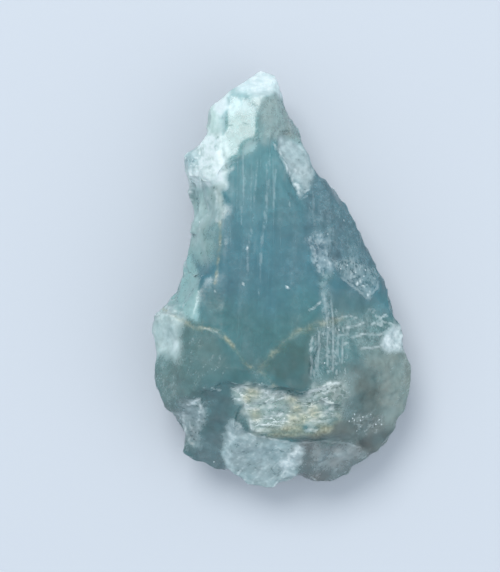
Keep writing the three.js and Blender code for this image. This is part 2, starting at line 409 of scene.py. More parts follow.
CRACKLE_FAN = [
    (5.2, 9.2), (6.6, 9), (7.6, 7.2), (8.5, 6.8), (8.4, 3), (7.4, 0.4), (6.8, 0.6), (5.6, 3.2),
    (4, 6.6),
]
CRACKLE = [(6.7, 1.2), (8.2, 1.2), (8.6, -9), (6.7, -9)]
LADDER = [(5.2, -9.4), (6.4, -7), (11.6, -6.2), (11.8, -17.4), (5, -17.6)]
FEATHERS = [(9, -5.6), (13, -5.4), (19, -5.4), (21, -8), (17, -12.6), (11.6, -12.4)]
RIGHT_PATCH = [(17.2, -11.6), (18.6, -9), (20.2, -8), (23.6, -8.4), (23.6, -12.4), (18.6, -12.6)]
RIGHT_LOBE = [(14.6, -12), (25, -12), (25, -30), (18, -32), (11, -29.6), (12.6, -26), (15, -22)]
RIM_SHADE = [(10.6, -27.2), (18.2, -25.8), (20, -27), (17, -31.4), (11, -29.2)]
OLIVE = [(11, -15), (16.4, -15), (18, -22), (13.6, -28), (11, -24)]
SPECKLED = [(11.8, -23.4), (14, -22.8), (18.2, -24.2), (17.8, -26.6), (13, -27)]
BELOW_CRACK = [
    (-16, -9.4), (-9, -11.6), (-4.4, -15), (0, -18.6), (-8, -19), (-13.6, -19.4), (-17, -21),
]
CRUST = [
    (-8.9, -18.6), (-6.4, -18.4), (-3, -18.9), (0.4, -19.7), (3.4, -20.6), (4.6, -18.8), (7, -17.6),
    (11.2, -17.6), (11.6, -20), (10.6, -22.6), (9.4, -24.2), (7.6, -25.2), (3, -25.2),
    (-0.4, -26), (-5, -27.2), (-5.8, -24.6), (-6.8, -22.8), (-7.2, -21.2), (-8.7, -20.6),
]
CREAM_SPOTS = [
    (-5.4, -19.4, 1.5), (-6.2, -20.6, 1), (1.6, -20.8, 1.3), (2.4, -22.6, 1.4), (1.8, -24.2, 1.2),
    (5.4, -23.2, 1.6), (-4.8, -23.6, 1.2), (3.6, -24.4, 1.6),
]
CRUST_FOOT = [
    (-5.2, -26.8), (-1, -25.8), (2.4, -24.8), (6, -24.6), (9.6, -23.6), (10.6, -24.6), (8, -26.8),
    (4.4, -27.6), (0, -27.6), (-3, -27.6),
]
CRUST_RIGHT = [(5.6, -16.8), (12.8, -16.8), (12.8, -24), (9.4, -25), (6.6, -21)]
UNDER_CRUST = [
    (-4, -27.8), (1, -27.6), (6, -27), (9.6, -25.4), (11.6, -23.8), (14, -26.8), (12.6, -28.9),
    (4, -28.7),
]
DARK_TRIANGLE = [
    (-3.6, -15), (-0.4, -11.4), (4, -8.6), (5.4, -9), (5, -18.4), (1, -18.8), (-1, -17),
]
DARK_HOLLOW = [(-13.6, -18.8), (-9, -18.6), (-9.4, -27), (-9.8, -36), (-13.8, -36)]
HOLLOW_LOW = [(-15.8, -27.6), (-10, -27), (-10, -36), (-17, -36)]
FROST_CORNER = [(-18.4, -22.2), (-13.7, -21.2), (-14.2, -25), (-14.8, -29.4), (-18.8, -31)]
FOOT_LEFT = [
    (-9.3, -25.2), (-8.4, -24.8), (-6.4, -27), (-2.6, -28), (1.3, -28.7), (2.9, -29.2),
    (2.4, -32), (3.4, -38), (-9.8, -38), (-9.9, -30), (-9.5, -27),
]
FOOT_RIDGE = [(-0.6, -34.4), (0.6, -32), (2.6, -30), (3.6, -30.6), (2.4, -33.2), (1, -34.8)]
FOOT_EDGE = [
    (-9.6, -25.4), (-8.4, -25.2), (-8.5, -28), (-9, -30), (-8.7, -34.8), (-10.2, -35.4),
    (-10.2, -29),
]
FOOT_SHEEN = [(5.6, -30.4), (12, -30.2), (15, -31.2), (10, -33.4), (6.4, -32.4)]
FOOT_RIGHT = [
    (2.6, -28.8), (10.6, -28.8), (14.4, -30), (18.5, -30.8), (16, -34), (4, -38.4), (2, -33),
]

# Lines in the plan.
LEFT_CRACK = [
    (-22.6, -4.6), (-19.2, -6.2), (-15.6, -8), (-13.4, -8.2), (-11.2, -8.9), (-8.5, -11.6),
    (-6.4, -14.4), (-4.7, -15.4),
]
RIGHT_CRACK = [
    (-4.7, -15.4), (-2.2, -12.9), (0.2, -10.3), (3.2, -8.5), (6.2, -7.6), (8.6, -7.1), (11.4, -6.3),
]
LOWER_CRACK = [(-4.7, -15.4), (-2.6, -17.2), (-0.7, -19.3)]
CRACKS = (LEFT_CRACK, RIGHT_CRACK, LOWER_CRACK)
FAINT_LINE = [(-20.4, -12.6), (-16, -13.2), (-12, -14.7), (-4.9, -15.6)]
STAIN_LINE = [(-11.1, 10.6), (-11, 6), (-11.4, 3), (-12, -1)]
GROWTH_LINES = [
    [(-4.4, 22), (-5, 14.5), (-5.6, 8.1), (-6.3, 5.6), (-6.2, 1.7), (-6.9, -0.6)],
    [(-2.2, 23.6), (-2.6, 17), (-3.1, 9.6), (-3.9, 7), (-4.1, 0)],
    [(-2.7, 23), (-3, 15), (-3.5, 8.6), (-3.9, 3), (-4.4, -4)],
    [(1.6, 16.2), (0.9, 12)],
    [(-6.6, 19), (-7.2, 12), (-7.4, 9)],
    [(-1.2, 20), (-1.7, 12)],
]
FEATHER_LINES = [
    [(4.2, -5.4), (5.6, -4.6), (6.6, -3.6)],
    [(9.2, -6.9), (11.5, -6.1), (13.2, -6.7)],
    [(10.8, -8.3), (12.8, -8), (14.6, -7.4)],
    [(15.2, -8.1), (17, -7.2), (18.3, -6.1), (18.9, -6.6)],
    [(11.4, -10.2), (14.2, -9.4), (17.4, -9.6), (19, -8.6)],
    [(13.4, -12.1), (17.4, -11.7)],
    [(9.8, -9.6), (11.6, -9.3)],
]
LADDER_LINES = [
    [(6.2, -8.6), (6, -17.2)],
    [(7, -0.6), (7.2, -4), (7.7, -8), (7.7, -16.2)],
    [(8.2, -2.6), (8.7, -7), (8.7, -16.6)],
    [(9.6, -9.2), (9.5, -13.6)],
    [(10.4, -9.8), (10.3, -14.8)],
]
BRIGHT_LINES = [  # the line, its width, how white it is
    ([(-8.7, -19.3), (-7, -18.7), (-5.2, -19.1), (-3.2, -19.5), (-0.8, -19.9),
      (1.2, -20.6), (2.4, -20.9)], 0.5, 1),
    ([(-8.8, -20.6), (-7.6, -20.9), (-6.6, -20.1), (-6.4, -21.6)], 0.28, 0.9),
    ([(-6.4, -20.4), (-6.7, -22.4), (-6, -23.6), (-5.6, -25.2), (-5.1, -26.8)], 0.30, 0.85),
    ([(-5.8, -22.2), (-3.4, -22.4), (-1.4, -22), (0.6, -22.4)], 0.24, 0.75),
    ([(-5.6, -23.8), (-3, -24), (-0.8, -23.4), (1.4, -23.8)], 0.26, 0.8),
    ([(-0.8, -25), (1.2, -24.6), (3, -23.8), (4.6, -22.9), (6.6, -21.8),
      (8.4, -21.2)], 0.42, 0.95),
    ([(4.4, -24.6), (6, -24.2), (7.6, -23), (9, -22.2)], 0.30, 0.8),
    ([(2.8, -22.2), (5.2, -20.6), (7.4, -19.6), (9.6, -18.8)], 0.24, 0.7),
    ([(4, -19.9), (6.2, -18.5), (8.8, -17.9), (10.6, -17.8)], 0.34, 0.9),
    ([(3.6, -26.6), (5, -26.2), (6, -26.6)], 0.32, 0.65),
    ([(-16.9, -21.9), (-15.4, -21.3), (-14.2, -21)], 0.45, 0.95),
    ([(-14.4, -21.4), (-14.7, -23), (-15, -25.2)], 0.36, 0.8),
    ([(-17.7, -23), (-17.8, -25.4), (-17.4, -27.4)], 0.40, 0.75),
    ([(-16.4, -24.5), (-16.2, -27)], 0.5, 0.45),
    ([(-12.6, -18.7), (-10.9, -19.2)], 0.16, 0.5),
    ([(-1, 23.8), (-0.3, 22), (1.2, 19), (3.3, 14.6)], 0.34, 0.75),
    ([(-1.4, 24), (-1.2, 22.8)], 0.30, 0.7),
    ([(1.8, 20.6), (2.4, 19.2), (3.3, 18.5), (4.2, 18.9)], 0.22, 0.7),
    ([(2.2, 17.4), (3, 15.9), (4, 15.5), (4.9, 16.5)], 0.22, 0.65),
    ([(-20.9, -3.9), (-20.4, -5.8), (-19, -6.6)], 0.6, 0.75),
    ([(-17, 3.6), (-18.3, 1), (-20.2, -2.6)], 0.5, 0.5),
    ([(-13.2, 15), (-13.3, 11.2)], 0.35, 0.45),
    ([(-9.3, -25.3), (-9.2, -27.5), (-9.8, -31), (-9.6, -34)], 0.32, 0.62),
    ([(-9.2, -25), (-8.4, -24.7), (-7.6, -25.8), (-6.4, -27)], 0.26, 0.6),
    ([(-6.4, -27.1), (-2.6, -28), (1.3, -28.8)], 0.20, 0.75),
    ([(-0.9, -33.4), (0.4, -32.4), (1.6, -31.2), (3.4, -29.4)], 0.85, 0.72),
    ([(5.4, -32.2), (8.4, -31.4), (10.4, -31.2)], 0.30, 0.35),
    ([(-4.9, -19.2), (-4.6, -21), (-5.4, -22)], 0.5, 0.6),
    ([(0.9, -20.7), (1.4, -22.4), (1, -24.2)], 0.45, 0.7),
    ([(12.7, -0.9), (13, -0.3)], 0.24, 1.2),
    ([(13.6, -0.4), (13.8, 0.1)], 0.20, 1.1),
    ([(15, -2.7), (15.5, -2.1)], 0.28, 0.9),
    ([(0.3, -1.4), (0.6, -0.9)], 0.20, 1.1),
    ([(-7.1, -0.7), (-6.9, -0.3)], 0.16, 0.8),
    ([(-6.4, 5.3), (-6.2, 5.7)], 0.16, 0.8),
    ([(3.1, 14.6), (3.3, 15)], 0.20, 0.9),
    ([(-12.1, -2), (-11.7, -1.8)], 0.16, 0.5),
    ([(-11.9, 16.2), (-11.5, 12.6), (-11.6, 9.8)], 0.35, 0.5),
    ([(4.9, -9.4), (4.8, -17.4)], 0.26, 0.5),
    ([(5.6, -9.8), (5.5, -17)], 0.20, 0.4),
]
EDGE_LINES = [
    [(-10.35, 29.4), (-10.3, 20.4)],
    [(3.4, 14.4), (4.4, 14.9)],
    [(-9.4, -25.6), (-9.4, -28), (-9.9, -31), (-9.8, -34.4)],
    [(-6.4, -27.1), (-2.6, -28), (1.3, -28.8), (3.3, -28.9), (7.4, -28.5), (11.8, -29.1),
     (14.9, -30.4)],
    [(9.6, 0.9), (13.1, -1.6), (14.9, -3.2), (16.8, -1.4), (17, 0.4)],
]


# Areas where healed growth has rounded the steps away, and how far it has gone before the last
# breaks and after them.
ROUNDED_AREAS = [
    ([(3.6, -2.6), (13.2, -2.6), (13.6, -17.8), (3.6, -18.2)], 60, 12),
    ([(-16.8, 7.4), (-10.4, 7.4), (-10.4, -3), (-12.8, -9), (-16.6, -8.6)], 44, 10),
    ([(-12.8, 18), (-8.4, 18), (-8.4, 7), (-12.8, 7)], 34, 8),
    ([(10.4, -15.6), (16.4, -15.6), (16.4, -28), (11, -28)], 40, 10),
    ([(12, -25.6), (22, -21), (22, -32), (12, -32)], 24, 8),
    ([(-16, -16), (-10, -16.2), (-3, -16.8), (4, -17.2), (5, -21), (-4, -20.8), (-8, -22),
      (-16, -21)], 60, 16),
    ([(-16.6, -16.4), (-8.6, -15.8), (-8.2, -25.6), (-9.6, -36), (-14.6, -32),
      (-15.6, -22)], 34, 14),
    ([(-9.6, -20), (-5, -22), (-3, -25.4), (9, -23.6), (12, -21.6), (14, -26), (8, -29),
      (-6, -29)], 22, 10),
    ([(-11.6, -24.8), (5, -26), (18.6, -27), (18.6, -32), (-11.6, -30)], 10, 2),
    (TIP_ALL, 14, 4),
    (RIGHT_FLANK, 6, 14),
    (LEFT_PRISM, 10, 10),
    (LEFT_LOBE_TOP, 6, 8),
    (LEFT_LOBE, 4, 8),
    ([(8.6, -15.6), (16, -15.6), (16, -22), (11, -22)], 12, 12),
]

# Areas broken into angular grains: outline, size of a grain along x, y and z, depth of its
# steps, and how far the grains stand up again, as a share of that depth.
BROKEN_AREAS = [
    (SHOULDER, (2.2, 1.5, 1.6), 0.15, 0.35),
    (TIP_CAP, (2.6, 0.9, 1.2), 0.16, 0.35),
    (TIP_LAYER, (3.4, 3, 2), 0.06, 0.35),
    (TIP_LEFT, (2.4, 2.6, 2), 0.08, 0.35),
    (LEFT_FLECKS, (1.2, 2.4, 1.2), 0.05, 0.35),
    (RIGHT_FLANK, (2, 4.2, 2.2), 0.05, 0.35),
    (FLANK_END, (1.3, 1.3, 1.3), 0.10, 0.35),
    (CRACKLE_FAN, (0.9, 0.9, 0.9), 0.06, 0.35),
    (CRACKLE, (0.6, 0.9, 0.9), 0.06, 0.35),
    (THREE_CORNER, (2.6, 3.4, 2), 0.07, 0.35),
    (RIGHT_PATCH, (1.4, 0.9, 1), 0.10, 0.35),
    (FEATHERS, (3, 0.9, 1.2), 0.07, 0.35),
    (SPECKLED, (1, 0.9, 0.9), 0.07, 0.35),
    (FROST_CORNER, (1.1, 2.6, 1.2), 0.06, 0.35),
    (FOOT_RIDGE, (1, 1.4, 1), 0.14, 0.35),
    (DARK_HOLLOW, (2.6, 4, 2), 0.03, 0.35),
    (CRUST, (3.4, 0.9, 1.2), 0.30, 0.72),
]


def shape_crystal(mesh):
    rng = np.random.default_rng(SEED)
    points = points_of(mesh)
    edges = edges_of(mesh)
    low, high = points.min(0), points.max(0)
    normals = outward(mesh)
    wide_normals = averaged(edges, normals, 4)
    wide_normals /= np.linalg.norm(wide_normals, axis=1)[:, None]
    on_top = ramp(0.1, 0.45, wide_normals[:, 2])
    resting = (normals[:, 2] < -0.9) & (points[:, 2] < 0.4)
    wander = sway(points, 1.8, 3, 20, 30)
    plan = points[:, :2] + 0.25 * wander

    calm = within(plan, STRIATED, 0.8) * on_top
    sound = (TIP_LAYER, PALE_FACET, SOUND_SKIN, BELOW_CRACK, FOOT_LEFT, FOOT_RIGHT, LEFT_LOBE)
    quiet = np.maximum.reduce([calm, *(within(plan, area, 0.6) * on_top for area in sound)])

    flat = points[:, :2].copy()
    rounded = [(within(flat, area, 0.8) * on_top)[:, None] for area, _, _ in ROUNDED_AREAS]

    def ease(turns, here):
        for _ in range(turns):
            points[:] += (neighbour_mean(edges, points) - points) * here

    for here, (_, before, _) in zip(rounded, ROUNDED_AREAS):
        ease(before, here)

    # No edge runs straight for long.
    off_table = ramp(0, 1, points[:, 2])
    points[:, 0] += 0.30 * swell(points, 5, 4, 22) * off_table
    points[:, 1] += 0.30 * swell(points, 5, 4, 32) * off_table * ramp(36, 32, points[:, 1])

    # Long swells of the broken skin, less on the growth face.
    lumps = 0.16 * (1 + swell(points, 8.0, 3, 40)) + 0.04 * (1 + swell(points, 2.2, 4, 50))
    lumps *= 1 - 0.7 * np.maximum(quiet, ramp(30, 34, points[:, 1]))
    lumps[resting] = 0
    points -= normals * lumps[:, None]

    # Flakes knocked off: broad ones first, then the small ones along every edge.
    worn = np.where(resting, 0.0, 1.0) * (1 - 0.97 * ramp(31, 33, points[:, 1]))
    loose = worn * (1 - quiet) ** 2 + 1e-12
    rim = worn * (1 - ramp(0.45, 0.75, np.abs(wide_normals[:, 2]))) + 1e-12
    chip_all_over(points, wide_normals, loose, 60, (9, 26), (0.12, 0.34), 0.6, rng)
    chip_all_over(points, wide_normals, rim, 150, (4, 12), (0.12, 0.42), 0.7, rng)
    chip_all_over(points, normals, loose, 140, (1.6, 5), (0.06, 0.2), 0.8, rng)
    chip_all_over(points, normals, rim, 380, (1.0, 3), (0.06, 0.20), 0.8, rng)

    for here, (_, _, after) in zip(rounded, ROUNDED_AREAS):
        ease(after, here)

    # Angular grains where the stone is crushed, in rows across it in the crust.
    for area, size, depth, stand in BROKEN_AREAS:
        here = within(plan, area, 0.5) * on_top
        some = here > 0
        grains, luck, _ = facets_at((points[some] + 0.3 * with_third(wander[some])) / size, SEED)
        slope = (luck[:, :3] - 0.5) * 2.6
        cut = depth * (np.clip(0.5 * luck[:, 3] + 0.45 + (grains * slope).sum(1), 0, 2) - stand)
        points[some, 2] -= cut * here[some]
    ease(1, (0.35 * on_top)[:, None])

    # Furrows along the growth direction, and the steps of the ladder.
    leaning = points * (1, 0.03, 0.2) - np.outer(points[:, 1] * 0.06, (1, 0, 0))
    points[:, 2] -= 0.035 * np.clip(swell(leaning, 0.8, 3, 60), 0, 1) * calm
    ladder = within(plan, LADDER, 0.4) * on_top
    for line in LADDER_LINES:
        points[:, 2] -= 0.05 * step_beside(plan, line, 1, 0.9) * on_top
    points[:, 2] -= 0.08 * np.clip(swell(points * (0.35, 1, 1), 0.9, 3, 70), 0, 1) * ladder

    # Thin steps that the feathery cracks and the areas' edges leave in the skin.
    for lines, drop in ((FEATHER_LINES, 0.08), (EDGE_LINES, 0.05)):
        for line in lines:
            points[:, 2] -= drop * step_beside(plan, line, -1, 1.2) * on_top

    # The open cracks.
    for line, depth in zip(CRACKS, (0.05, 0.04, 0.06)):
        ragged = plan + 0.15 * swell(points, 0.7, 2, 80)[:, None]
        points[:, 2] -= depth * stroke(ragged, line, 0.3, 0.05) * on_top

    # Shell ripples on the foot.
    foot = within(plan, FOOT_LEFT, 0.6) * on_top
    rings = np.linalg.norm(plan - (-12, -24), axis=1)
    points[:, 2] -= 0.035 * (1 + np.sin(rings * 2.2 + 2.5 * swell(points, 5, 2, 97))) * foot

    points = np.clip(points, low, high)
    points[:, 2] = np.maximum(points[:, 2], 0)
    put_points(mesh, points)


def mark(mesh, name, values):
    """A shade from 0 to 1 for each point of the skin, for the material to read."""
    shade = mesh.attributes.new(name, "FLOAT", "POINT")
    shade.data.foreach_set("value", np.clip(values, 0, 1).astype(np.float32))


def mark_colour(mesh, name, colours):
    shade = mesh.attributes.new(name, "FLOAT_COLOR", "POINT")
    rgba = np.concatenate([colours, np.ones((len(colours), 1))], 1)
    shade.data.foreach_set("color", rgba.astype(np.float32).ravel())


# Each area: its outline, the softness of its edge, the colour there (the stone's own colour,
# but painted shade in RIM_SHADE and painted highlights in LOBE_GLINT and FOOT_SHEEN), how much
# of that colour shows, how frosted the skin is, and how unevenly.
AREAS = [
    (LEFT_PRISM, 1.6, (0.200, 0.374, 0.335), 0.85, 0.12, 0.35),
    (LEFT_LOBE, 2.4, (0.056, 0.134, 0.122), 0.95, 0.03, 0.35),
    (LEFT_RIM, 2.0, (0.092, 0.176, 0.160), 0.8, 0.05, 0.4),
    (LEFT_MID, 1.2, (0.058, 0.142, 0.128), 0.9, 0.03, 0.4),
    (PALE_FACET, 0.35, (0.215, 0.43, 0.41), 1.0, 0.13, 0.25),
    (LEFT_LOBE_TOP, 1.4, (0.40, 0.55, 0.52), 0.9, 0.28, 0.6),
    # painted highlight: a small bright glint on the left lobe
    (LOBE_GLINT, 0.3, (0.60, 0.75, 0.72), 0.8, 0.55, 0.3),
    (TIP_ALL, 0.8, (0.36, 0.56, 0.53), 1.0, 0.26, 0.6),
    (TIP_LAYER, 0.35, (0.155, 0.335, 0.325), 1.0, 0.07, 0.5),
    (LAYER_HIGH, 1.6, (0.30, 0.50, 0.50), 0.8, 0.18, 0.8),
    (LAYER_LOW, 1.4, (0.130, 0.310, 0.285), 0.9, 0.05, 0.6),
    (TIP_LEFT, 0.9, (0.46, 0.66, 0.58), 1.0, 0.36, 0.5),
    (TIP_WEDGE, 0.8, (0.80, 0.95, 0.93), 1.0, 0.9, 0.2),
    (TIP_RIGHT, 1.2, (0.225, 0.315, 0.290), 1.0, 0.11, 0.4),
    (SHOULDER, 1.3, (0.60, 0.76, 0.70), 1.0, 0.68, 1.0),
    (SHOULDER_BLUE, 1.2, (0.26, 0.42, 0.45), 0.8, 0.25, 0.8),
    (TIP_CAP, 0.8, (0.66, 0.84, 0.86), 1.0, 0.7, 0.6),
    (LEFT_FLECKS, 1.8, (0.32, 0.48, 0.45), 0.7, 0.22, 0.7),
    (CREAM_VEIN, 0.6, (0.40, 0.46, 0.40), 0.8, 0.20, 0.8),
    (THREE_CORNER, 0.5, (0.29, 0.40, 0.415), 1.0, 0.30, 0.7),
    (RIGHT_FLANK, 1.6, (0.033, 0.134, 0.172), 1.0, 0.05, 0.7),
    (FLANK_END, 0.7, (0.042, 0.152, 0.182), 1.0, 0.12, 1.5),
    (CRACKLE_FAN, 0.5, (0.050, 0.165, 0.215), 1.0, 0.15, 1.3),
    (CRACKLE, 0.5, (0.050, 0.180, 0.200), 1.0, 0.10, 1.2),
    (DARK_TRIANGLE, 0.6, (0.034, 0.112, 0.102), 0.95, 0.0, 0.2),
    (LADDER, 0.9, (0.034, 0.145, 0.146), 1.0, 0.04, 0.9),
    (FEATHERS, 2.0, (0.082, 0.192, 0.182), 0.9, 0.06, 0.9),
    (RIGHT_LOBE, 2.4, (0.204, 0.270, 0.232), 1.0, 0.06, 0.4),
    (OLIVE, 2.0, (0.052, 0.088, 0.068), 0.9, 0.02, 0.5),
    # painted shade along the lower right rim
    (RIM_SHADE, 1.6, (0.030, 0.046, 0.040), 1.0, 0.0, 0.4),
    (RIGHT_PATCH, 0.45, (0.39, 0.51, 0.52), 1.0, 0.56, 0.9),
    (SPECKLED, 1.3, (0.070, 0.105, 0.095), 0.8, 0.05, 1.2),
    (DARK_HOLLOW, 1.4, (0.042, 0.108, 0.114), 0.9, 0.02, 0.5),
    (HOLLOW_LOW, 1.8, (0.078, 0.142, 0.152), 0.9, 0.05, 0.5),
    (FROST_CORNER, 0.9, (0.125, 0.200, 0.205), 0.9, 0.18, 0.9),
    (FOOT_RIGHT, 0.7, (0.108, 0.125, 0.122), 1.0, 0.05, 0.4),
    # painted sheen: lighter along the top of the right foot
    (FOOT_SHEEN, 1.4, (0.21, 0.25, 0.25), 0.9, 0.14, 0.6),
    (FOOT_LEFT, 0.25, (0.245, 0.365, 0.375), 1.0, 0.19, 0.7),
    (FOOT_EDGE, 0.6, (0.34, 0.52, 0.54), 0.8, 0.36, 0.8),
    (FOOT_RIDGE, 0.9, (0.42, 0.55, 0.58), 1.0, 0.46, 1.0),
    (UNDER_CRUST, 0.7, (0.088, 0.108, 0.086), 0.95, 0.03, 0.6),
    (CRUST, 0.6, (0.275, 0.390, 0.345), 1.0, 0.34, 0.0),
    (CRUST_RIGHT, 1.4, (0.135, 0.220, 0.200), 0.85, 0.10, 0.0),
]
# Painted glints: areas where flat flecks are painted white as if catching the light.
GLINT_FLECKED = [  # areas with flat flecks that catch the light, and the share of the skin they take
    (RIGHT_FLANK, 0.008), (FLANK_END, 0.10), (LEFT_FLECKS, 0.14), (SHOULDER, 0.2),
    (SPECKLED, 0.40), (CRACKLE_FAN, 0.16), (FROST_CORNER, 0.08), (DARK_HOLLOW, 0.03),
    (LADDER, 0.06), (CRUST, 0.10),
]
BLUE_HEART = (0.009, 0.140, 0.184)
GREEN_LOW = (0.010, 0.126, 0.130)
PALE_HIGH = (0.052, 0.210, 0.230)
UNDERSIDE = (0.14, 0.26, 0.28)
UNDER_TIP = (0.40, 0.60, 0.58)


def shade_crystal(mesh):
    points = points_of(mesh)
    normals = outward(mesh)
    edges = edges_of(mesh)
    ragged = sway(points, 1.3, 4, 110, 120)
    drifting = sway(points, 4.5, 4, 111, 121)
    crisp = points[:, :2] + 0.15 * ragged
    loose = points[:, :2] + 0.25 * ragged + 1.1 * drifting
    on_top = ramp(-0.2, 0.2, normals[:, 2])

    # The stone's own colour, from pale at the tip through blue to green at the foot.
    along = points[:, 1:2] + 3 * drifting[:, :1]
    tint = np.array(PALE_HIGH) + (np.array(BLUE_HEART) - PALE_HIGH) * ramp(24, 4, along)
    tint += (np.array(GREEN_LOW) - tint) * ramp(2, -9, along)
    frost = np.full(len(points), 0.03)
    uneven = np.full(len(points), 0.3)
    for area, soft, colour, share, frosted, patchy in AREAS:
        here = within(crisp if soft < 0.5 else loose, area, soft) * on_top
        tint += (np.array(colour) - tint) * (here * share)[:, None]
        frost += (frosted - frost) * here
        uneven += (patchy - uneven) * here
    tint = averaged(edges, tint, 2)
    frost = averaged(edges, frost, 2)
    under = (1 - on_top)[:, None]
    beneath = UNDERSIDE + (np.array(UNDER_TIP) - UNDERSIDE) * ramp(12, 22, points[:, 1:2])
    tint += (beneath - tint) * under * 0.8
    frost += (0.22 - frost) * under[:, 0]

    # Milky clouds, and straight-sided ones along the growth direction.
    tint *= (1 + 0.12 * swell(points, 9, 3, 130))[:, None]
    milk = np.clip(swell(points * (1.4, 0.7, 1), 6, 5, 132), 0, 1)
    frost += 0.05 * milk
    blocks = facets_at((points + 0.8 * with_third(drifting)) / (4.0, 9.0, 6.0), SEED + 3)[1]
    tint *= (1 + 0.16 * (blocks[:, 0] - 0.5))[:, None]

    # Grains differ in shade, and the gaps between some of them are white.
    warped = points + 0.35 * with_third(ragged)
    _, luck, gap = facets_at(warped / (1.5, 1.7, 1.5), SEED + 1)
    _, small_luck, small_gap = facets_at(warped / 0.7, SEED + 2)
    grain = 0.6 * (luck[:, 0] - 0.5) + 0.5 * (small_luck[:, 0] - 0.5)
    grain += 0.6 * swell(points, 1.2, 4, 135)
    tint *= (1 + 0.40 * np.clip(uneven, 0, 1) * grain)[:, None]
    frost *= np.clip(1 + 1.2 * uneven * (grain - 0.05), 0, 3)
    seams = np.maximum((1 - ramp(0.02, 0.14, gap)) * (luck[:, 1] > 0.55),
                       (1 - ramp(0.02, 0.2, small_gap)) * (small_luck[:, 1] > 0.75))
    frost += 0.35 * seams * np.clip(uneven - 0.6, 0, 1)

    # The crust: thin ragged ridges that run across the stone, slanting up on the right.
    crust = within(crisp, CRUST, 0.8) * on_top
    turn = math.radians(24) * ramp(1, 5, points[:, 0])
    run = points[:, 0] * np.cos(turn) + points[:, 1] * np.sin(turn)
    across = points[:, 1] * np.cos(turn) - points[:, 0] * np.sin(turn)
    ridged = np.stack([run * 0.26, across, points[:, 2] * 0.5], 1) + 0.18 * with_third(ragged)
    coarse = threads(ridged, 1.7, 172, 0.42, 0.02)
    finer = threads(ridged, 0.62, 173, 0.40, 0.02)
    crumbs = ramp(-0.4, 0.6, swell(points, 1.4, 4, 174))
    rows = 0.05 + 0.46 * coarse * crumbs + 0.28 * finer * (0.3 + 0.7 * crumbs)
    rows *= (1 + 0.25 * ramp(-2, -6, points[:, 0])) * (1 - 0.5 * ramp(5, 9, points[:, 0]))
    frost += (rows - frost) * crust
    cream = 0.12 * crust
    for x, y, wide in CREAM_SPOTS:
        spot = np.exp(-((crisp - (x, y)) ** 2).sum(1) / wide ** 2)
        cream = np.maximum(cream, spot * crust)
    tint += ((0.38, 0.40, 0.26) - tint) * (0.75 * cream)[:, None]

    # Sharp edges are bruised white; sharp corners inside are darkened as painted shade.
    bend = -((neighbour_mean(edges, points) - points) * normals).sum(1)
    for _ in range(2):
        bend = 0.5 * bend + 0.5 * neighbour_mean(edges, bend)
    straight = points[:, :2]
    from_crack = np.minimum.reduce([np.abs(beside(straight, line)[0]) for line in CRACKS])
    level = ramp(0.55, 0.85, averaged(edges, normals[:, 2], 8))
    frost += 0.50 * ramp(0.008, 0.045, bend) * ramp(0.3, 1.0, from_crack) * (1 - 0.9 * level)
    # painted shade in the inside corners, kept off the crust and the pointed end
    plain = (1 - np.minimum(1, 2 * within(loose, CRUST, 3.0))) * ramp(32, 24, points[:, 1])
    tint *= (1 - 0.20 * ramp(0.006, 0.04, -bend) * plain)[:, None]

    # Light lines: growth tubes, feathery cracks, the ladder and the edges of areas.
    fine = straight + 0.10 * sway(points, 0.8, 2, 140, 150)
    broken = np.clip(0.5 + 1.1 * swell(points, 1.6, 3, 160), 0, 1)
    for lines, ground, width, strength in (
        (GROWTH_LINES, straight, 0.13, 0.20),
        (FEATHER_LINES, fine, 0.13, 0.80),
        (LADDER_LINES, straight, 0.15, 0.50),
        (EDGE_LINES, fine, 0.20, 0.36),
    ):
        for line in lines:
            glow = stroke(ground, line, width) * on_top
            frost = np.maximum(frost, strength * glow * (0.45 + 0.55 * broken))

    crumbled = np.clip(0.6 + 1.3 * swell(points, 0.8, 3, 162), 0, 1)
    for line, width, strength in BRIGHT_LINES:
        glow = stroke(crisp + 0.12 * ragged, line, width, 0.08) * on_top
        frost = np.maximum(frost, strength * glow * (0.25 + 0.75 * crumbled))

    # Streaks: slanting strokes, scratches across the flat areas, and upright ticks.
    slant = points @ np.array([(0.97, -0.22, 0), (0.22, 0.97, 0), (0, 0, 1)]).T
    strokes = threads(slant * (0.22, 1.0, 0.5), 1.3, 176, 0.16, 0.02)
    strokes *= ramp(0.0, 0.5, swell(points * (0.6, 1, 1), 2.2, 3, 178))
    scored = points @ np.array([(0.64, 0.77, 0), (-0.77, 0.64, 0), (0, 0, 1)]).T
    scratches = threads(scored * (0.16, 1.0, 0.4), 1.1, 184, 0.14)
    upright = threads(points * (1.0, 0.2, 0.5), 1.0, 180, 0.30, 0.02)
    upright *= ramp(-0.1, 0.5, swell(points * (1, 0.6, 1), 2.0, 3, 182))
    ticks = threads(points * (1.0, 0.16, 0.4), 0.7, 186, 0.22) * crumbled
    for area, soft, strength in (
        (FEATHERS, 1.2, 0.50), (SHOULDER, 1.0, 0.95), (RIGHT_PATCH, 0.8, 0.9),
    ):
        frost = np.maximum(frost, strength * strokes * within(loose, area, soft) * on_top)
    for area, strength in (
        (FOOT_LEFT, 0.36), (FOOT_RIGHT, 0.16), (TIP_LAYER, 0.26), (LEFT_LOBE, 0.10),
    ):
        frost += strength * scratches * crumbled * within(crisp, area, 0.6) * on_top
    for area, soft, strength, marks in (
        (LADDER, 0.8, 0.42, ticks),
        (FROST_CORNER, 1.0, 0.55, upright),
        (LEFT_FLECKS, 1.0, 0.30, upright),
        (RIGHT_FLANK, 1.0, 0.12, upright),
        (LEFT_LOBE_TOP, 1.0, 0.35, upright),
    ):
        frost = np.maximum(frost, strength * marks * within(loose, area, soft) * on_top)

